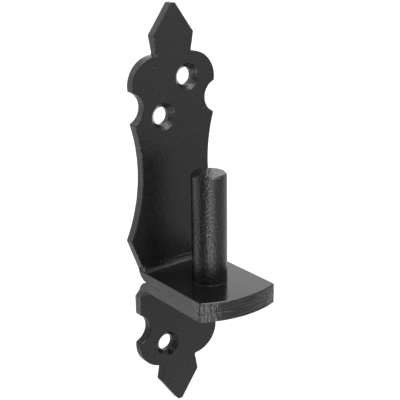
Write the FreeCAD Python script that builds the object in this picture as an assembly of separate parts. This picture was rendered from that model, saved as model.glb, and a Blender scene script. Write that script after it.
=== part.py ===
# Gate hinge pin: an upright round pin on a two-layer shelf, carried by two ornamental straps.
# Each strap is flat bar with a spear-and-lobe end, bent forward at a right angle. The two bent
# feet lie on each other and make the shelf, and the pin is riveted through both.
# Millimetres. The origin is where the pin's axis leaves the top of the shelf, +Z runs up the pin,
# and the wall is on the +Y side, so the front faces -Y.
import FreeCAD, Part
import os
from math import asin, atan2, cos, degrees, hypot, sin, sqrt
from FreeCAD import Vector

# Pin
PIN_DIAMETER = 16.0
PIN_HEIGHT = 50.5
PIN_TOP_CHAMFER = 0.8
PIN_SEAT_DEPTH = 0.5
TENON_DIAMETER = 12.0
RIVET_DIAMETER = 15.5
RIVET_DEPTH = 2.2

# Flat bar of both straps
BAR_THICKNESS = 4.6
BEND_INNER_RADIUS = 2.5
EDGE_BREAK = 0.3
CORNER_ROUNDING = 0.8

# Shelf, whose nose is a little skew: its centre stands to the right of the pin
WALL_TO_PIN = 29.0
SHELF_WIDTH = 39.3
SHELF_REACH = 53.9
NOSE_RADIUS = 44.7
NOSE_OFFSET = 3.75
SHELF_CORNER_RADIUS = 1.2

# Upper strap, with heights from the top of the shelf
UPPER_FLARE_START = 0.5
UPPER_FLARE_ROUNDING = 4.0
HIP_HEIGHT = 16.2
HIP_WIDTH = 50.8
WAIST_HEIGHT = 70.1
WAIST_HOLLOW = 5.15

# Lower strap, whose flare starts below the underside of the shelf, with its depth from the shelf's top
LOWER_FLARE_START = 0.2
LOWER_FLARE_LENGTH = 2.9
LOWER_FLARE_ROUNDING = 1.2
SHOULDER_DEPTH = 21.3

# Ornament at the end of each strap, going away from the shelf
ORNAMENT_WIDTH = 43.7
BITE_LENGTH = 14.45
BITE_HOLLOW = 5.2
LOBE_WIDTH = 44.5
LOBE_LENGTH = 14.8
LOBE_SWELL = 4.6
NECK_WIDTH = 18.4
SPEAR_ROOT = 8.7
SPEAR_WIDTH = 21.6
SPEAR_POINT = 13.4
SPEAR_TIP_WIDTH = 2.3

# Screw holes, two on a slant in each ornament; the upper two stand a little to the right
SCREW_HOLE = 8.2
COUNTERSINK = 12.6
HOLES_SETBACK = 9.8
HOLE_SPREAD_X = 13.3
UPPER_HOLE_SPREAD_Z = 16.3
LOWER_HOLE_SPREAD_Z = 18.6
UPPER_HOLES_OFFSET = 0.35

# Welds that join the two layers along the sides of the shelf and round its nose, but for a short gap there
WELD_DEPTH = 1.4
WELD_WIDTH = 2.4
WELD_START_FROM_WALL = 17.0
WELD_GAP_WIDTH = 7.5
WELD_GAP_OFFSET = -9.8

# Places that follow from the sizes above
WALL_Y = WALL_TO_PIN
PLATE_FRONT_Y = WALL_Y - BAR_THICKNESS
BEND_OUTER_RADIUS = BEND_INNER_RADIUS + BAR_THICKNESS
BEND_START_Y = WALL_Y - BEND_OUTER_RADIUS
NOSE_Y = WALL_Y - SHELF_REACH
SEAM_Z = -BAR_THICKNESS
SHELF_BOTTOM_Z = -2 * BAR_THICKNESS
HALF_SHELF = SHELF_WIDTH / 2
WIDEST = max(HIP_WIDTH, ORNAMENT_WIDTH, LOBE_WIDTH, SHELF_WIDTH)
BEYOND = 5.0

X = Vector(1, 0, 0)
Y = Vector(0, 1, 0)
Z = Vector(0, 0, 1)
ORIGIN = Vector(0, 0, 0)
NOSE_CENTRE = Vector(NOSE_OFFSET, NOSE_Y + NOSE_RADIUS, 0)
SMOOTH_COSINE = 0.85
TOUCHING = 0.001


def line(start, end):
    return Part.LineSegment(start, end).toShape()


def side_arc(start, end, swell):
    """An arc on the right-hand side of an outline; its middle stands out from its chord by swell."""
    chord = end - start
    outward = chord.cross(Y).normalize()
    if outward.x < 0:
        outward = outward * -1
    return Part.Arc(start, (start + end) * 0.5 + outward * swell, end).toShape()


def flare(foot, end, rounding):
    """The right-hand side of a strap as it widens from its foot: a tangent arc and then a straight line."""
    outward = 1 if end.x > foot.x else -1
    onward = 1 if end.z > foot.z else -1
    centre = foot + X * (outward * rounding)
    across = (end.x - centre.x) * outward
    along = (end.z - centre.z) * onward
    turn = atan2(across, along) + asin(rounding / hypot(across, along))

    def on_arc(angle):
        return centre + Vector(-outward * cos(angle), 0, onward * sin(angle)) * rounding

    arc = Part.Arc(foot, on_arc(turn / 2), on_arc(turn)).toShape()
    return [arc, line(on_arc(turn), end)]


def symmetric_block(right_side, sweep):
    """A block whose outline is a run of edges on the right and their mirror image on the left."""
    left_side = [edge.mirror(ORIGIN, X) for edge in right_side]
    ends = [right_side[0].Vertexes[0].Point, right_side[-1].Vertexes[-1].Point]
    across = [line(Vector(-end.x, end.y, end.z), end) for end in ends if end.x > 0]
    outline = Part.sortEdges(right_side + left_side + across)[0]
    return Part.Face(Part.Wire(outline)).extrude(sweep)


def corners_where(block, chosen):
    """The corner edges of an outline block, which run along Y, where chosen(z) holds."""
    found = []
    for edge in block.Edges:
        runs_along_y = edge.Curve.TypeId == "Part::GeomLine" and abs(edge.Curve.Direction.y) > 0.999
        if runs_along_y and chosen(edge.CenterOfMass.z):
            found.append(edge)
    return found


def sharp_edges(shape):
    """The edges where two faces meet at an angle, without those where one runs smoothly into the next."""
    found = []
    for edge in shape.Edges:
        middle = edge.valueAt((edge.FirstParameter + edge.LastParameter) / 2)
        faces = shape.ancestorsOfType(edge, Part.Face)
        normals = [face.normalAt(*face.Surface.parameter(middle)) for face in faces]
        if len(normals) == 2 and normals[0].dot(normals[1]) < SMOOTH_COSINE:
            found.append(edge)
    return found


def ornament(bite_z, away):
    """Right-hand side of a spear and lobe; away is 1 where the strap goes up and -1 where it goes down."""
    lobe_z = bite_z + away * BITE_LENGTH
    neck_z = lobe_z + away * LOBE_LENGTH
    spear_z = neck_z + away * SPEAR_ROOT
    tip_z = spear_z + away * SPEAR_POINT
    bite = Vector(ORNAMENT_WIDTH / 2, 0, bite_z)
    lobe = Vector(LOBE_WIDTH / 2, 0, lobe_z)
    neck = Vector(NECK_WIDTH / 2, 0, neck_z)
    spear = Vector(SPEAR_WIDTH / 2, 0, spear_z)
    tip = Vector(SPEAR_TIP_WIDTH / 2, 0, tip_z)
    bite_arc = side_arc(bite, lobe, -BITE_HOLLOW)
    lobe_arc = side_arc(lobe, neck, LOBE_SWELL)
    return [bite_arc, lobe_arc, line(neck, spear), line(spear, tip)]


def upper_side():
    """Right-hand side of the upper strap, from below its foot up to the tip."""
    heel = Vector(HALF_SHELF, 0, SEAM_Z - BEYOND)
    foot = Vector(HALF_SHELF, 0, UPPER_FLARE_START)
    hip = Vector(HIP_WIDTH / 2, 0, HIP_HEIGHT)
    waist = Vector(ORNAMENT_WIDTH / 2, 0, WAIST_HEIGHT)
    waist_arc = side_arc(hip, waist, -WAIST_HOLLOW)
    widening = flare(foot, hip, UPPER_FLARE_ROUNDING)
    return [line(heel, foot)] + widening + [waist_arc] + ornament(WAIST_HEIGHT, 1)


def lower_side():
    """Right-hand side of the lower strap, from above its foot down to the tip."""
    heel = Vector(HALF_SHELF, 0, SEAM_Z + BEYOND)
    foot = Vector(HALF_SHELF, 0, SHELF_BOTTOM_Z - LOWER_FLARE_START)
    flare_end = Vector(ORNAMENT_WIDTH / 2, 0, foot.z - LOWER_FLARE_LENGTH)
    shoulder = Vector(ORNAMENT_WIDTH / 2, 0, -SHOULDER_DEPTH)
    widening = flare(foot, flare_end, LOWER_FLARE_ROUNDING)
    return [line(heel, foot)] + widening + [line(flare_end, shoulder)] + ornament(-SHOULDER_DEPTH, -1)


def shelf_corner(side):
    """The centre of a front corner of the shelf seen from above, and the way to it from the nose's centre.

    The corner on the right has side 1, the one on the left has side -1.
    """
    centre = Vector(side * (HALF_SHELF - SHELF_CORNER_RADIUS), 0, 0)
    across = centre.x - NOSE_CENTRE.x
    centre.y = NOSE_CENTRE.y - sqrt((NOSE_RADIUS - SHELF_CORNER_RADIUS) ** 2 - across ** 2)
    return centre, (centre - NOSE_CENTRE).normalize()


def shelf_block():
    """Everything within the shelf's outline seen from above, and all of the room where the plates stand."""
    edges = []
    nose_ends = []
    back_corners = []
    for side in (-1, 1):
        centre, lean = shelf_corner(side)
        nose_end = NOSE_CENTRE + lean * NOSE_RADIUS
        corner_middle = centre + (lean + X * side).normalize() * SHELF_CORNER_RADIUS
        side_front = centre + X * (side * SHELF_CORNER_RADIUS)
        side_back = Vector(side * HALF_SHELF, BEND_START_Y, 0)
        plate_corner = Vector(side * WIDEST, BEND_START_Y, 0)
        back_corner = Vector(side * WIDEST, WALL_Y + BEYOND, 0)
        edges.append(Part.Arc(nose_end, corner_middle, side_front).toShape())
        edges.append(line(side_front, side_back))
        edges.append(line(side_back, plate_corner))
        edges.append(line(plate_corner, back_corner))
        nose_ends.append(nose_end)
        back_corners.append(back_corner)
    nose_front = NOSE_CENTRE - Y * NOSE_RADIUS
    edges.append(Part.Arc(nose_ends[0], nose_front, nose_ends[1]).toShape())
    edges.append(line(*back_corners))
    tall = 4 * SHELF_REACH + WAIST_HEIGHT + SHOULDER_DEPTH
    block = Part.Face(Part.Wire(Part.sortEdges(edges)[0])).extrude(Z * (2 * tall))
    block.translate(Z * -tall)
    return block


def bent_bar(height):
    """A wide bar that lies under z = 0, bends up at the wall and stands to a height, with no outline yet."""
    front_y = NOSE_Y - BEYOND
    slant = 1 / sqrt(2)
    bend_axis = Vector(0, BEND_START_Y, BEND_INNER_RADIUS)
    inner_middle = bend_axis + (Y - Z) * (BEND_INNER_RADIUS * slant)
    outer_middle = bend_axis + (Y - Z) * (BEND_OUTER_RADIUS * slant)
    foot_low = Vector(0, front_y, SEAM_Z)
    foot_high = Vector(0, front_y, 0)
    inner_start = Vector(0, BEND_START_Y, 0)
    inner_end = Vector(0, PLATE_FRONT_Y, BEND_INNER_RADIUS)
    top_front = Vector(0, PLATE_FRONT_Y, height)
    top_back = Vector(0, WALL_Y, height)
    outer_start = Vector(0, WALL_Y, BEND_INNER_RADIUS)
    outer_end = Vector(0, BEND_START_Y, SEAM_Z)
    section = [
        line(foot_low, foot_high),
        line(foot_high, inner_start),
        Part.Arc(inner_start, inner_middle, inner_end).toShape(),
        line(inner_end, top_front),
        line(top_front, top_back),
        line(top_back, outer_start),
        Part.Arc(outer_start, outer_middle, outer_end).toShape(),
        line(outer_end, foot_low),
    ]
    bar = Part.Face(Part.Wire(section)).extrude(X * (2 * WIDEST))
    bar.translate(X * -WIDEST)
    return bar


def cut_to_outline(bar, side, foot_z, away):
    """Cuts a bent bar to its strap's outline and to the shelf's, then breaks its sharp edges.

    The corners beyond the foot are rounded; away is 1 where the strap goes up and -1 where it goes down.
    """
    outline = symmetric_block(side, Y * (SHELF_REACH + 2 * BEYOND))
    outline.translate(Y * (NOSE_Y - BEYOND))
    corners = corners_where(outline, lambda z: (z - foot_z) * away > TOUCHING)
    outline = outline.makeFillet(CORNER_ROUNDING, corners)
    strap = bar.common(outline).common(shelf_block())
    return strap.makeChamfer(EDGE_BREAK, sharp_edges(strap))


def screw_holes(middle_x, middle_z, spread_z):
    """What is cut out for the two countersunk holes of one ornament, which lie on a slant."""
    sink_depth = (COUNTERSINK - SCREW_HOLE) / 2
    middle = Vector(middle_x, PLATE_FRONT_Y - BEYOND, middle_z)
    half_spread = Vector(HOLE_SPREAD_X / 2, 0, spread_z / 2)
    holes = []
    for start in (middle - half_spread, middle + half_spread):
        bore = Part.makeCylinder(SCREW_HOLE / 2, BAR_THICKNESS + 2 * BEYOND, start, Y)
        sink = Part.makeCone(COUNTERSINK / 2 + BEYOND, SCREW_HOLE / 2, sink_depth + BEYOND, start, Y)
        holes.append(bore.fuse(sink))
    return holes


def hinge_pin():
    """The pin: its bevelled foot sits in the shelf, and its tenon ends in a head that is riveted flush."""
    radius = PIN_DIAMETER / 2
    tenon = TENON_DIAMETER / 2
    rivet = RIVET_DIAMETER / 2
    sink_z = SHELF_BOTTOM_Z + RIVET_DEPTH
    side = [
        Vector(0, 0, PIN_HEIGHT),
        Vector(radius - PIN_TOP_CHAMFER, 0, PIN_HEIGHT),
        Vector(radius, 0, PIN_HEIGHT - PIN_TOP_CHAMFER),
        Vector(radius, 0, 0),
        Vector(radius - PIN_SEAT_DEPTH, 0, -PIN_SEAT_DEPTH),
        Vector(tenon, 0, -PIN_SEAT_DEPTH),
        Vector(tenon, 0, sink_z),
        Vector(rivet, 0, SHELF_BOTTOM_Z),
        Vector(0, 0, SHELF_BOTTOM_Z),
    ]
    outline = Part.makePolygon(side + side[:1])
    return Part.Face(outline).revolve(ORIGIN, Z, 360)


def tenon_hole():
    """What is cut out of the shelf for the pin's bevelled foot, its tenon and its riveted head."""
    radius = PIN_DIAMETER / 2
    tenon = TENON_DIAMETER / 2
    bottom = Vector(0, 0, SHELF_BOTTOM_Z)
    seat_low = Vector(0, 0, -PIN_SEAT_DEPTH)
    seat = Part.makeCone(radius - PIN_SEAT_DEPTH, radius + BEYOND, PIN_SEAT_DEPTH + BEYOND, seat_low, Z)
    hole = Part.makeCylinder(tenon, -SHELF_BOTTOM_Z, bottom, Z)
    sink = Part.makeCone(RIVET_DIAMETER / 2, tenon, RIVET_DEPTH, bottom, Z)
    return seat.fuse([hole, sink])


def weld_section(place, outward):
    """The section of the V groove at a place on the seam: a triangle with its root inside the shelf."""
    root = place - outward * WELD_DEPTH
    upper_toe = place + outward * WELD_DEPTH + Z * WELD_WIDTH
    lower_toe = place + outward * WELD_DEPTH - Z * WELD_WIDTH
    return Part.Face(Part.makePolygon([root, upper_toe, lower_toe, root]))


def edge_weld(side):
    """The weld in the seam on one side of the shelf, ground flush with the edges of both layers.

    It fills a V groove along the side and then along the nose up to the gap.
    """

    def turn_to(x):
        return degrees(asin((x - NOSE_OFFSET) / NOSE_RADIUS))

    start = Vector(side * HALF_SHELF, WALL_Y - WELD_START_FROM_WALL, SEAM_Z)
    along_side = weld_section(start, X * side).extrude(Y * (NOSE_Y - start.y))
    first_turn = turn_to(WELD_GAP_OFFSET + side * WELD_GAP_WIDTH / 2)
    last_turn = turn_to(side * HALF_SHELF)
    section = weld_section(Vector(NOSE_OFFSET, NOSE_Y, SEAM_Z), Y * -1)
    section.rotate(NOSE_CENTRE, Z, first_turn)
    along_nose = section.revolve(NOSE_CENTRE, Z, last_turn - first_turn)
    return along_side.fuse(along_nose).common(shelf_block()).removeSplitter()


def main():
    upper_length = WAIST_HEIGHT + BITE_LENGTH + LOBE_LENGTH + SPEAR_ROOT + SPEAR_POINT + BEYOND
    lower_length = SHOULDER_DEPTH + BITE_LENGTH + LOBE_LENGTH + SPEAR_ROOT + SPEAR_POINT + BEYOND
    welds = [edge_weld(-1), edge_weld(1)]
    shelf_cuts = [tenon_hole()] + welds

    upper_strap = cut_to_outline(bent_bar(upper_length), upper_side(), UPPER_FLARE_START, 1)
    upper_holes = screw_holes(UPPER_HOLES_OFFSET, WAIST_HEIGHT + HOLES_SETBACK, UPPER_HOLE_SPREAD_Z)
    upper_strap = upper_strap.cut(upper_holes + shelf_cuts)

    lower_bar = bent_bar(lower_length).mirror(Vector(0, 0, SEAM_Z), Z)
    lower_strap = cut_to_outline(lower_bar, lower_side(), SHELF_BOTTOM_Z - LOWER_FLARE_START, -1)
    lower_holes = screw_holes(0, -SHOULDER_DEPTH - HOLES_SETBACK, LOWER_HOLE_SPREAD_Z)
    lower_strap = lower_strap.cut(lower_holes + shelf_cuts)

    pieces = {
        "upper_strap": upper_strap,
        "lower_strap": lower_strap,
        "hinge_pin": hinge_pin(),
        "edge_welds": Part.makeCompound(welds),
    }
    os.makedirs("parts", exist_ok=True)
    for name, shape in pieces.items():
        shape.exportStep(f"parts/{name}.step")
        box = shape.BoundBox
        print(name, "solids", len(shape.Solids), "valid", shape.isValid(), "volume", round(shape.Volume, 1))
        print("   x", round(box.XMin, 2), round(box.XMax, 2), "y", round(box.YMin, 2), round(box.YMax, 2),
              "z", round(box.ZMin, 2), round(box.ZMax, 2))


main()
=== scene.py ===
# Gate hinge pin: an upright pin on a two-layer shelf, carried by two ornamental straps of flat bar.
# All of it is mild steel, cut and bent, riveted and welded, and then powder coated black in one go.
# Metres. +Z runs up the pin, the wall is on the +Y side, and the origin is the pin's foot.
import math

import bmesh
import bpy
from mathutils import Matrix, Vector


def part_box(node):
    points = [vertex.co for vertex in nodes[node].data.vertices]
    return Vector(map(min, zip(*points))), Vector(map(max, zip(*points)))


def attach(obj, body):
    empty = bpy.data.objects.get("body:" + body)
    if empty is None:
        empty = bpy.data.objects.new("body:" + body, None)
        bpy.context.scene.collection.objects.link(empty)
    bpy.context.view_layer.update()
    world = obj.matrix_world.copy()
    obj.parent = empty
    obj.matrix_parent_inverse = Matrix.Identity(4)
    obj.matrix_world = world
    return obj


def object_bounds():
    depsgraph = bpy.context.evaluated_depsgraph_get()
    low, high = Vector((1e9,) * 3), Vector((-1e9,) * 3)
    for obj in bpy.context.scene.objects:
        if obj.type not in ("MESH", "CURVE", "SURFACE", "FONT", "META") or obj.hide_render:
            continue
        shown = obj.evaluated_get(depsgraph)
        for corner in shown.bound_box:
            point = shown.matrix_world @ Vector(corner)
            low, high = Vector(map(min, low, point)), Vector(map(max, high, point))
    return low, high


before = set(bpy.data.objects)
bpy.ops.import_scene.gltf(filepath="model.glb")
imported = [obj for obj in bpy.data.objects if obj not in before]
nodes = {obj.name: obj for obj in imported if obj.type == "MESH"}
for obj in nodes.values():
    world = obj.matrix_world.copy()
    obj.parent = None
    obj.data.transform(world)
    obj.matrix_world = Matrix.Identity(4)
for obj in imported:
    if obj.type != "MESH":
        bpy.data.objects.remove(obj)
cad_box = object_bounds()
MM = 0.001

# Upper and lower strap
# Two pieces of 4.6 mm mild steel flat bar, punched to the spear and lobe and bent forward; their two
# feet lie on each other and make the shelf. Their coat is a satin black polyester powder, sprayed and baked.


def colour(code):
    """The linear colour of an sRGB hex value."""
    parts = [int(code[i : i + 2], 16) / 255 for i in (1, 3, 5)]
    linear = [v / 12.92 if v <= 0.04045 else ((v + 0.055) / 1.055) ** 2.4 for v in parts]
    return (*linear, 1.0)


def add(tree, kind, settings=None, **inputs):
    """Adds a node with its settings; each input is a value or the socket that feeds it."""
    node = tree.nodes.new(kind)
    for name, value in (settings or {}).items():
        setattr(node, name, value)
    for name, value in inputs.items():
        socket = node.inputs[int(name[1:])] if name[1:].isdigit() else node.inputs[name.replace("_", " ")]
        if isinstance(value, bpy.types.NodeSocket):
            tree.links.new(value, socket)
        else:
            socket.default_value = value
    return node


def ramp_between(tree, value, low, high, to_low=0.0, to_high=1.0):
    """A smooth step of a socket's value from low to high."""
    settings = {"interpolation_type": "SMOOTHSTEP"}
    step = add(tree, "ShaderNodeMapRange", settings, Value=value, From_Min=low, From_Max=high)
    step.inputs["To Min"].default_value = to_low
    step.inputs["To Max"].default_value = to_high
    return step.outputs["Result"]


def times(tree, first, *others):
    """The product of numbers, each a value or a socket."""
    for other in others:
        first = add(tree, "ShaderNodeMath", {"operation": "MULTIPLY"}, i0=first, i1=other).outputs[0]
    return first


def plus(tree, first, *others):
    """The sum of numbers, each a value or a socket."""
    for other in others:
        first = add(tree, "ShaderNodeMath", {"operation": "ADD"}, i0=first, i1=other).outputs[0]
    return first


# The coat's fine orange peel is drawn as coarse as it needs to show.
COAT_BLACK = "#131212"
COAT_GREY = "#171615"
# Lighter grey for streaks; on the ridges of the tears it is a painted highlight.
LIGHT_STREAK_GREY = "#8a8886"
COAT_IOR = 1.5
FULL_SHINE = 0.5
COAT_PATCH = 18 * MM
STRAP_SATIN = (0.26, 0.31)
SATIN_PATCH = 4 * MM
NOISE_MIDDLE = 0.5
NOISE_SPREAD = (0.3, 0.7)
PEEL_SIZE = 0.95 * MM
STRAP_PEEL = 0.13 * MM
WAVE_SIZE = 5 * MM
WAVE_DEPTH = 0.03 * MM


def powder_coat(name, satin, peel_depth, marks):
    """A satin black powder coat: even, near black, with a soft shine that its orange peel breaks up.

    marks(tree, place) gives what changes it: the height of what it covers, in metres, the share of its peel,
    how much rougher it is, how far it is drawn lighter grey, partly as a painted highlight, and its level of
    shine, which is lowered where shade is painted.
    """
    material = bpy.data.materials.new(name)
    material.use_nodes = True
    tree = material.node_tree
    tree.nodes.clear()
    place = add(tree, "ShaderNodeTexCoord").outputs["Object"]
    marked = marks(tree, place)

    patches = add(tree, "ShaderNodeTexNoise", Vector=place, Scale=1 / COAT_PATCH, Detail=3.0)
    tint = add(tree, "ShaderNodeMix", {"data_type": "RGBA"}, i0=patches.outputs["Fac"])
    tint.inputs[6].default_value = colour(COAT_BLACK)
    tint.inputs[7].default_value = colour(COAT_GREY)
    # Lighter grey streaks: a painted highlight on the tear ridges, and lighter lines on the sides and
    # flanks.
    if "lighter_grey" in marked:
        tint = add(tree, "ShaderNodeMix", {"data_type": "RGBA"}, i0=marked["lighter_grey"], i6=tint.outputs[2])
        tint.inputs[7].default_value = colour(LIGHT_STREAK_GREY)

    dulling = add(tree, "ShaderNodeTexNoise", Vector=place, Scale=1 / SATIN_PATCH, Detail=4.0)
    gloss = ramp_between(tree, dulling.outputs["Fac"], *NOISE_SPREAD, *satin)
    if "rougher" in marked:
        gloss = plus(tree, gloss, marked["rougher"])

    peel = add(tree, "ShaderNodeTexNoise", Vector=place, Scale=1 / PEEL_SIZE, Detail=2.0, Roughness=0.4)
    wave = add(tree, "ShaderNodeTexNoise", Vector=place, Scale=1 / WAVE_SIZE, Detail=1.0)
    fine = times(tree, peel.outputs["Fac"], times(tree, marked.get("peel", 1.0), peel_depth))
    height = plus(tree, fine, times(tree, wave.outputs["Fac"], WAVE_DEPTH))
    if "height" in marked:
        height = plus(tree, height, marked["height"])
    bump = add(tree, "ShaderNodeBump", Height=height, Distance=1.0, Strength=1.0)

    shader = add(tree, "ShaderNodeBsdfPrincipled", IOR=COAT_IOR, Base_Color=tint.outputs[2], Roughness=gloss)
    tree.links.new(bump.outputs["Normal"], shader.inputs["Normal"])
    if "shine" in marked:
        tree.links.new(marked["shine"], shader.inputs["Specular IOR Level"])
    add(tree, "ShaderNodeOutputMaterial", Surface=shader.outputs["BSDF"])
    return material


# What shows through the coat, and where a lighter grey or less shine is painted on as highlight or shade. A
# pair of plain numbers holds the two levels between which a mark sets in: of how far a face looks up,
# sideways or to the wall, from 0 to 1, or of the noise that draws a streak.
FADE = 4 * MM
SHORT_FADE = 1 * MM
UPRIGHT_FACE = (0.5, 0.2)
SHELF_BACK = 24 * MM

# Upright tears on the nose of the shelf beside its two corners, with a painted highlight of lighter grey on
# their ridges.
TEARS_LEFT_OF = -13.5 * MM
TEARS_RIGHT_OF = 14.0 * MM
TEARS_AT_RIGHT = 0.5
NOSE_BACK = -13 * MM
TEAR_WIDTH = 1.2 * MM
TEAR_LENGTH = 4 * MM
TEAR_DEPTH = 0.7 * MM
TEAR_DULL = 0.06
RIDGE_WIDTH = 0.7 * MM
RIDGE_LENGTH = 2.4 * MM
RIDGE_LEVELS = (0.48, 0.66)
RIDGE_HIGHLIGHT = 0.32

# Fine lengthwise lines on the sides of the shelf, drawn a little lighter grey.
SCORE_WIDTH = 0.6 * MM
SCORE_LENGTH = 7 * MM
SCORE_DEPTH = 0.04 * MM
SCORE_LEVELS = (0.45, 0.7)
SCORE_LIGHTER = 0.08

# The flanks of the lower ornament, with lighter grey upright lines above, and less shine below as a painted
# shade.
FLANK_FACE = (0.3, 0.6)
FLANK_TOP = -9.5 * MM
FLANK_FROM = -20 * MM
FLANK_TO = -25 * MM
FLANK_SHADED_SHINE = 0.2
LINED_FACE = (0.8, 0.95)
LINE_WIDTH = 1.3 * MM
LINE_LENGTH = 15 * MM
LINE_LEVELS = (0.45, 0.6)
LINE_LIGHTER = 0.16

# Grit in the countersinks, whose slant sets them off from the face of the plate and from the bores.
CONE_PAST_BORE = (0.45, 0.6)
CONE_PAST_PLATE = (0.92, 0.8)
PLATE_FROM = 24.2 * MM
PLATE_FADE = 0.1 * MM
GRIT_SIZE = 1.1 * MM
GRIT_DEPTH = 0.22 * MM

# Wrinkles inside the bend.
WRINKLES_FROM = 20.5 * MM
WRINKLES_BELOW = 4 * MM
WRINKLE_WIDTH = 1.2 * MM
WRINKLE_LENGTH = 9 * MM
WRINKLE_DEPTH = 0.3 * MM

# The melted coat is smoother on the shelf and in the countersinks, and on level faces its peel is flatter.
LEVEL_FACE = (0.8, 0.98)
LEVELLED_PEEL = 0.4
SMOOTHER = -0.12


def streaks(tree, place, sizes):
    """A noise drawn out to the given sizes along X, Y and Z."""
    narrow = tuple(1 / size for size in sizes)
    scaled = add(tree, "ShaderNodeVectorMath", {"operation": "MULTIPLY"}, i0=place, i1=narrow).outputs[0]
    return add(tree, "ShaderNodeTexNoise", Vector=scaled, Scale=1.0, Detail=2.0).outputs["Fac"]


def cut_marks(tree, place):
    """The marks of cutting and bending that show through the coat, with a painted highlight on the tear
    ridges and painted shade on the lower flanks.
    """
    at = add(tree, "ShaderNodeSeparateXYZ", Vector=place).outputs
    normal = add(tree, "ShaderNodeNewGeometry").outputs["Normal"]
    turned = add(tree, "ShaderNodeVectorMath", {"operation": "ABSOLUTE"}, i0=normal).outputs[0]
    faces = add(tree, "ShaderNodeSeparateXYZ", Vector=turned).outputs
    upright = ramp_between(tree, faces["Z"], *UPRIGHT_FACE)
    on_shelf = ramp_between(tree, at["Y"], SHELF_BACK, SHELF_BACK - FADE)

    left = ramp_between(tree, at["X"], TEARS_LEFT_OF + FADE, TEARS_LEFT_OF)
    right = ramp_between(tree, at["X"], TEARS_RIGHT_OF - FADE, TEARS_RIGHT_OF)
    nose = ramp_between(tree, at["Y"], NOSE_BACK, NOSE_BACK - FADE)
    torn = times(tree, plus(tree, left, times(tree, right, TEARS_AT_RIGHT)), nose, upright)
    tears = streaks(tree, place, (TEAR_WIDTH, TEAR_WIDTH, TEAR_LENGTH))
    tear_height = times(tree, tears, torn, TEAR_DEPTH)
    ridges = streaks(tree, place, (RIDGE_WIDTH, RIDGE_WIDTH, RIDGE_LENGTH))
    # Painted highlight: the ridges of the tears are drawn lighter grey.
    ridge_highlight = times(tree, ramp_between(tree, ridges, *RIDGE_LEVELS, 0.0, RIDGE_HIGHLIGHT), torn)

    on_rim = times(tree, upright, on_shelf)
    scores = streaks(tree, place, (SCORE_LENGTH, SCORE_LENGTH, SCORE_WIDTH))
    score_height = times(tree, scores, on_rim, SCORE_DEPTH)
    # The scores are drawn a little lighter grey.
    lighter_scores = times(tree, ramp_between(tree, scores, *SCORE_LEVELS, 0.0, SCORE_LIGHTER), on_rim)

    # Painted shade: less shine on the lower flanks of the ornament.
    flank_below = ramp_between(tree, at["Z"], FLANK_FROM, FLANK_TO)
    shaded_flank = times(tree, ramp_between(tree, faces["X"], *FLANK_FACE), flank_below)
    shine = ramp_between(tree, shaded_flank, 0.0, 1.0, FULL_SHINE, FLANK_SHADED_SHINE)
    under_top = ramp_between(tree, at["Z"], FLANK_TOP + SHORT_FADE, FLANK_TOP)
    beside = times(tree, under_top, ramp_between(tree, at["Z"], FLANK_TO, FLANK_FROM))
    # Upright lines above the flanks, drawn lighter grey.
    lines = streaks(tree, place, (LINE_WIDTH, LINE_WIDTH, LINE_LENGTH))
    lighter_lines = times(tree, ramp_between(tree, lines, *LINE_LEVELS, 0.0, LINE_LIGHTER), beside)
    lighter_lines = times(tree, lighter_lines, ramp_between(tree, faces["X"], *LINED_FACE))

    past_bore = ramp_between(tree, faces["Y"], *CONE_PAST_BORE)
    past_plate = ramp_between(tree, faces["Y"], *CONE_PAST_PLATE)
    in_plate = ramp_between(tree, at["Y"], PLATE_FROM, PLATE_FROM + PLATE_FADE)
    in_cone = times(tree, past_bore, past_plate, in_plate)
    grit = streaks(tree, place, (GRIT_SIZE, GRIT_SIZE, GRIT_SIZE))
    grit_height = times(tree, grit, in_cone, GRIT_DEPTH)

    behind = ramp_between(tree, at["Y"], WRINKLES_FROM, WRINKLES_FROM + SHORT_FADE)
    above = ramp_between(tree, at["Z"], -SHORT_FADE, 0.0)
    below = ramp_between(tree, at["Z"], WRINKLES_BELOW, WRINKLES_BELOW - SHORT_FADE)
    in_bend = times(tree, behind, above, below)
    wrinkles = streaks(tree, place, (WRINKLE_LENGTH, WRINKLE_WIDTH, WRINKLE_WIDTH))
    wrinkle_height = times(tree, wrinkles, in_bend, WRINKLE_DEPTH)

    smoother = times(tree, plus(tree, on_shelf, in_cone), SMOOTHER)
    return {
        "height": plus(tree, tear_height, score_height, grit_height, wrinkle_height),
        "peel": ramp_between(tree, faces["Z"], *LEVEL_FACE, 1.0, LEVELLED_PEEL),
        "rougher": plus(tree, times(tree, torn, TEAR_DULL), smoother),
        "lighter_grey": plus(tree, ridge_highlight, lighter_scores, lighter_lines),
        "shine": shine,
    }


bar_coat = powder_coat("powder_coat_on_punched_bar", STRAP_SATIN, STRAP_PEEL, cut_marks)
for name in ("upper_strap", "lower_strap"):
    nodes[name].data.materials.clear()
    nodes[name].data.materials.append(bar_coat)

# Edge welds
# Two runs of weld metal along the sides and round the nose of the shelf, which close the seam between its
# two layers. They are ground flush and take the same coat, so they show as part of the shelf's edge.
weld_coat = powder_coat("powder_coat_on_ground_weld", STRAP_SATIN, STRAP_PEEL, cut_marks)
nodes["edge_welds"].data.materials.clear()
nodes["edge_welds"].data.materials.append(weld_coat)

# Hinge pin
# A 16 mm bright-drawn round bar, chamfered at the top and riveted into the shelf. Its coat is glossier than
# the straps', and the orange peel shows most here.
PIN_SATIN = (0.13, 0.19)
PIN_PEEL = 0.3 * MM
# Less shine towards the foot of the pin is a painted shade.
FOOT_SHADED_SHINE = 0.26
FOOT_FROM = 13 * MM
FOOT_TO = 4 * MM


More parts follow.
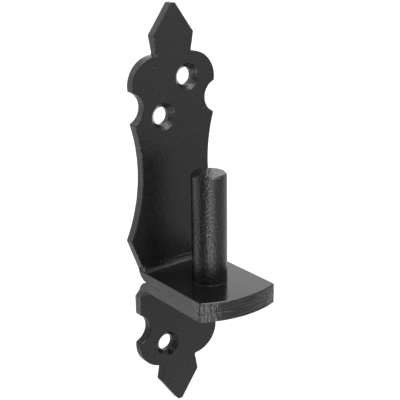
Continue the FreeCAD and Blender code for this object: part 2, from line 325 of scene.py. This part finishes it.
def foot_marks(tree, place):
    """No marks on the drawn bar, but less shine towards its foot: a painted shade where it meets the shelf.
    """
    height = add(tree, "ShaderNodeSeparateXYZ", Vector=place).outputs["Z"]
    return {"shine": ramp_between(tree, height, FOOT_TO, FOOT_FROM, FOOT_SHADED_SHINE, FULL_SHINE)}


pin_coat = powder_coat("powder_coat_on_drawn_bar", PIN_SATIN, PIN_PEEL, foot_marks)
nodes["hinge_pin"].data.materials.clear()
nodes["hinge_pin"].data.materials.append(pin_coat)

# Coat in the joints
# Powder that melted and set in three places: a thin uneven bead all round the foot of the pin, a fill in the
# open stretch of the seam on the nose, where the weld has its short gap, and a run at one end of the bend.
BEAD_THICKNESS = 0.8 * MM
BEAD_SINK = 0.1 * MM
BEAD_LUMP = 2.0 * MM
BEAD_UNEVEN = 0.25 * MM
BEAD_STEPS = 120
BEAD_SIDES = 12
SEAM_CENTRE = Vector((3.75, 19.8, -4.6)) * MM
SEAM_RADIUS = 44.3 * MM
SEAM_THICKNESS = 0.8 * MM
SEAM_FROM = -13.9 * MM
SEAM_TO = -5.7 * MM


def bead_tree(material):
    """Geometry Nodes for an uneven round bead along an arc, with named inputs for its sizes."""
    tree = bpy.data.node_groups.new("coat_bead", "GeometryNodeTree")
    for label in ("Path Radius", "Bead Radius", "Start", "Sweep", "Uneven"):
        tree.interface.new_socket(label, in_out="INPUT", socket_type="NodeSocketFloat")
    tree.interface.new_socket("Centre", in_out="INPUT", socket_type="NodeSocketVector")
    tree.interface.new_socket("Geometry", in_out="OUTPUT", socket_type="NodeSocketGeometry")
    sizes = add(tree, "NodeGroupInput").outputs
    path = add(tree, "GeometryNodeCurveArc", Resolution=BEAD_STEPS, Radius=sizes["Path Radius"])
    tree.links.new(sizes["Start"], path.inputs["Start Angle"])
    tree.links.new(sizes["Sweep"], path.inputs["Sweep Angle"])
    section = add(tree, "GeometryNodeCurvePrimitiveCircle", Resolution=BEAD_SIDES)
    tree.links.new(sizes["Bead Radius"], section.inputs["Radius"])
    swept = add(tree, "GeometryNodeCurveToMesh", Curve=path.outputs[0], Profile_Curve=section.outputs[0])
    place = add(tree, "GeometryNodeInputPosition").outputs["Position"]
    lumps = add(tree, "ShaderNodeTexNoise", Vector=place, Scale=1 / BEAD_LUMP, Detail=1.0).outputs["Fac"]
    above_middle = plus(tree, lumps, -NOISE_MIDDLE)
    swell = times(tree, above_middle, times(tree, sizes["Uneven"], 1 / NOISE_MIDDLE))
    normal = add(tree, "GeometryNodeInputNormal").outputs["Normal"]
    push = add(tree, "ShaderNodeVectorMath", {"operation": "SCALE"}, i0=normal, Scale=swell).outputs[0]
    offset = add(tree, "ShaderNodeVectorMath", {"operation": "ADD"}, i0=push, i1=sizes["Centre"]).outputs[0]
    placed = add(tree, "GeometryNodeSetPosition", Geometry=swept.outputs["Mesh"], Offset=offset)
    smooth = add(tree, "GeometryNodeSetShadeSmooth", Geometry=placed.outputs["Geometry"])
    real = add(tree, "GeometryNodeRealizeInstances", Geometry=smooth.outputs["Geometry"])
    dressed = add(tree, "GeometryNodeSetMaterial", Geometry=real.outputs["Geometry"], Material=material)
    add(tree, "NodeGroupOutput", Geometry=dressed.outputs["Geometry"])
    return tree


def made_by(tree, name, **sizes):
    """A plain mesh object made by a Geometry Nodes tree with the given sizes."""
    seed = bpy.data.objects.new("seed", bpy.data.meshes.new("seed"))
    bpy.context.scene.collection.objects.link(seed)
    modifier = seed.modifiers.new("make", "NODES")
    modifier.node_group = tree
    for item in tree.interface.items_tree:
        key = item.name.replace(" ", "_").lower()
        if item.in_out == "INPUT" and key in sizes:
            modifier[item.identifier] = sizes[key]
    evaluated = seed.evaluated_get(bpy.context.evaluated_depsgraph_get())
    mesh = bpy.data.meshes.new_from_object(evaluated)
    mesh.name = name
    bpy.data.objects.remove(seed)
    made = bpy.data.objects.new(name, mesh)
    bpy.context.scene.collection.objects.link(made)
    return made


pin_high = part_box("hinge_pin")[1]
beads = bead_tree(pin_coat)
round_pin = made_by(
    beads,
    "coat_bead",
    path_radius=pin_high.x,
    bead_radius=BEAD_THICKNESS / 2,
    start=math.pi / 2,
    sweep=2 * math.pi,
    uneven=BEAD_UNEVEN,
    centre=(0.0, 0.0, -BEAD_SINK),
)
seam_start = -math.acos((SEAM_FROM - SEAM_CENTRE.x) / SEAM_RADIUS)
seam_end = -math.acos((SEAM_TO - SEAM_CENTRE.x) / SEAM_RADIUS)
in_seam = made_by(
    beads,
    "coat_in_seam",
    path_radius=SEAM_RADIUS,
    bead_radius=SEAM_THICKNESS / 2,
    start=seam_start,
    sweep=seam_end - seam_start,
    uneven=0.0,
    centre=SEAM_CENTRE,
)

# The run is a small flat lump at the left end of the inner bend, which faces forwards and up.
RUN_PLACE = Vector((-20.0, 23.9, 2.1)) * MM
RUN_FACES = Vector((-0.25, -0.68, 0.69))
RUN_HALF = Vector((1.7, 1.7, 0.3)) * MM
RUN_FINENESS = 4
run_turn = Vector((0, 0, 1)).rotation_difference(RUN_FACES)
run_matrix = Matrix.LocRotScale(RUN_PLACE, run_turn, RUN_HALF)
run_shape = bmesh.new()
bmesh.ops.create_icosphere(run_shape, subdivisions=RUN_FINENESS, radius=1.0, matrix=run_matrix)
for face in run_shape.faces:
    face.smooth = True
run_mesh = bpy.data.meshes.new("run_of_coat")
run_shape.to_mesh(run_mesh)
run_shape.free()
run_mesh.materials.append(pin_coat)
run = bpy.data.objects.new("run_of_coat", run_mesh)
bpy.context.scene.collection.objects.link(run)
for bead in (round_pin, in_seam, run):
    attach(bead, "root")

# Studio
# The part hangs as on its wall, clear above a white table. All the light comes from the white room around
# it, which is brightest in a panel high in front of the part and in a patch low in front at its left.
FLOOR_DROP = 250 * MM
FLOOR_HALF = 60.0
FLOOR_WHITE = "#ffffff"
floor_z = cad_box[0].z - FLOOR_DROP
floor_corners = [(x * FLOOR_HALF, y * FLOOR_HALF, floor_z) for x, y in ((-1, -1), (1, -1), (1, 1), (-1, 1))]
floor_mesh = bpy.data.meshes.new("floor")
floor_mesh.from_pydata(floor_corners, [], [(0, 1, 2, 3)])
floor = bpy.data.objects.new("floor", floor_mesh)
bpy.context.scene.collection.objects.link(floor)
# Matt white board, which gives the eye plain white. The coat reflects the room and not the board.
paper = bpy.data.materials.new("matt_white_table")
paper.use_nodes = True
paper.node_tree.nodes.clear()
paper_shader = add(paper.node_tree, "ShaderNodeBsdfDiffuse", Color=colour(FLOOR_WHITE))
add(paper.node_tree, "ShaderNodeOutputMaterial", Surface=paper_shader.outputs["BSDF"])
floor_mesh.materials.append(paper)
floor.visible_glossy = False

# The room as rings around the part, from far below it to right above. Each ring has the sine of its
# elevation, and then its brightness at each azimuth in degrees, 0 to the front and 90 to the right. At the
# horizon all is plain white, and below it the cloth of the room falls in uneven folds.
WHITE_RING = [(-180, 1.0), (180, 1.0)]
RINGS = [
    (-0.9, [(-180, 0.5), (-60, 0.6), (-30, 1.5), (0, 0.7), (60, 0.9), (100, 0.9), (180, 0.5)]),
    (-0.57, [(-180, 0.6), (-160, 0.9), (-146, 1.5), (-114, 1.1), (-98, 0.35), (-60, 0.6), (-36, 5.2),
             (-21, 5.2), (-1, 0.8), (12, 0.75), (32, 0.75), (50, 1.15), (70, 1.4), (130, 1.1), (180, 0.6)]),
    (-0.33, [(-180, 0.6), (-156, 1.1), (-138, 0.9), (-116, 1.05), (-98, 0.05), (-58, 0.05), (-36, 3.6),
             (-16, 3.5), (3, 0.8), (16, 0.42), (50, 0.42), (90, 0.6), (130, 0.9), (180, 0.6)]),
    (-0.14, [(-180, 0.8), (-160, 1.1), (-140, 0.8), (-114, 1.0), (-98, 0.3), (-62, 0.4), (-38, 1.4),
             (-20, 1.4), (0, 0.9), (14, 0.9), (50, 0.9), (90, 0.9), (130, 1.0), (180, 0.8)]),
    (-0.05, WHITE_RING),
    (0.05, WHITE_RING),
    (0.17, [(-180, 1.2), (-150, 1.1), (-110, 0.9), (-80, 0.25), (-42, 0.25), (-18, 1.0), (60, 1.0),
            (85, 0.9), (100, 1.0), (125, 1.45), (155, 1.4), (180, 1.2)]),
    (0.42, [(-180, 1.2), (-150, 1.45), (-110, 1.0), (-80, 0.4), (-45, 0.5), (-20, 0.8), (50, 0.8),
            (85, 0.6), (105, 0.8), (125, 1.6), (150, 1.4), (180, 1.2)]),
    (0.6, [(-180, 0.8), (-150, 1.0), (-120, 0.8), (-60, 0.8), (-45, 1.4), (0, 1.3), (50, 0.8), (85, 0.5),
           (120, 0.8), (180, 0.8)]),
    (0.77, [(-180, 0.7), (-130, 0.4), (-60, 0.4), (-32, 3.0), (-14, 5.0), (30, 5.0), (55, 1.2), (85, 0.8),
            (180, 0.7)]),
    (0.86, [(-180, 0.7), (-130, 0.3), (-44, 0.3), (-22, 5.4), (40, 5.4), (58, 1.0), (180, 0.7)]),
    (0.95, [(-180, 0.6), (-130, 0.3), (-35, 0.3), (-8, 5.0), (36, 5.0), (60, 0.8), (180, 0.6)]),
    (1.0, WHITE_RING),
]
BRIGHTEST = 5.5
ROOM_FOLDS = 7.0
FOLD_SHADING = 0.5
FOLDS_END = (-0.12, -0.06)

world = bpy.data.worlds.new("studio")
bpy.context.scene.world = world
world.use_nodes = True
sky = world.node_tree
sky.nodes.clear()
way = add(sky, "ShaderNodeTexCoord").outputs["Generated"]
parts = add(sky, "ShaderNodeSeparateXYZ", Vector=way).outputs
front = times(sky, parts["Y"], -1.0)
turn = add(sky, "ShaderNodeMath", {"operation": "ARCTAN2"}, i0=parts["X"], i1=front).outputs[0]
share = add(sky, "ShaderNodeMapRange", Value=turn, From_Min=-math.pi, From_Max=math.pi).outputs["Result"]


def glow_of(ring):
    """The brightness of one ring round the part, as a share of the brightest."""
    ramp = add(sky, "ShaderNodeValToRGB", Fac=share)
    stops = ramp.color_ramp.elements
    while len(stops) < len(ring):
        stops.new(0.5)
    for stop, (azimuth, brightness) in zip(stops, ring):
        stop.position = (azimuth + 180) / 360
    for stop, (azimuth, brightness) in zip(stops, ring):
        grey = brightness / BRIGHTEST
        stop.color = (grey, grey, grey, 1)
    return ramp.outputs["Color"]


glow = glow_of(RINGS[0][1])
for (lower, _), (height, ring) in zip(RINGS, RINGS[1:]):
    between = ramp_between(sky, parts["Z"], lower, height)
    blend = add(sky, "ShaderNodeMix", {"data_type": "RGBA"}, i0=between, i6=glow, i7=glow_of(ring))
    glow = blend.outputs[2]
folds = add(sky, "ShaderNodeTexNoise", Vector=way, Scale=ROOM_FOLDS, Detail=1.0).outputs["Fac"]
shading = add(sky, "ShaderNodeMapRange", Value=folds, From_Min=NOISE_SPREAD[0], From_Max=NOISE_SPREAD[1])
shading.inputs["To Min"].default_value = 1 - FOLD_SHADING
shading.inputs["To Max"].default_value = 1 + FOLD_SHADING
plain = ramp_between(sky, parts["Z"], *FOLDS_END)
shaded = add(sky, "ShaderNodeMix", {"data_type": "FLOAT"}, i0=plain, i2=shading.outputs["Result"], i3=1.0)
strength = times(sky, shaded.outputs[0], BRIGHTEST)
light = add(sky, "ShaderNodeBackground", Color=glow, Strength=strength)
add(sky, "ShaderNodeOutputWorld", Surface=light.outputs["Background"])

# The camera stands to the left in front, a little above the part. Its place was solved from the outline.
VIEW_AZIMUTH = -36.83
VIEW_ELEVATION = 18.877
VIEW_ROLL = math.radians(-0.6695)
VIEW_TARGET = Vector((0, 14, 25)) * MM
VIEW_DISTANCE = 443.38 * MM
VIEW_RIGHT = 4.2925 * MM
VIEW_UP = 8.6065 * MM
SENSOR = 36.0
FOCAL_IN_PIXELS = 973.0
FRAME_PIXELS = 400


def way_to(azimuth, elevation):
    """The direction to an azimuth, 0 to the front and 90 to the right, and an elevation, in degrees."""
    around, above = math.radians(azimuth), math.radians(elevation)
    return Vector((math.sin(around) * math.cos(above), -math.cos(around) * math.cos(above), math.sin(above)))


camera_data = bpy.data.cameras.new("camera")
camera_data.sensor_width = SENSOR
camera_data.lens = SENSOR * FOCAL_IN_PIXELS / FRAME_PIXELS
camera = bpy.data.objects.new("camera", camera_data)
bpy.context.scene.collection.objects.link(camera)
back = way_to(VIEW_AZIMUTH, VIEW_ELEVATION)
level_right = (-back).cross(Vector((0, 0, 1))).normalized()
level_up = level_right.cross(-back)
right = level_right * math.cos(VIEW_ROLL) + level_up * math.sin(VIEW_ROLL)
up = level_up * math.cos(VIEW_ROLL) - level_right * math.sin(VIEW_ROLL)
eye = VIEW_TARGET + back * VIEW_DISTANCE + right * VIEW_RIGHT + up * VIEW_UP
camera.matrix_world = Matrix.Translation(eye) @ Matrix((right, up, back)).transposed().to_4x4()
bpy.context.scene.camera = camera
bpy.context.scene.view_settings.view_transform = "Standard"
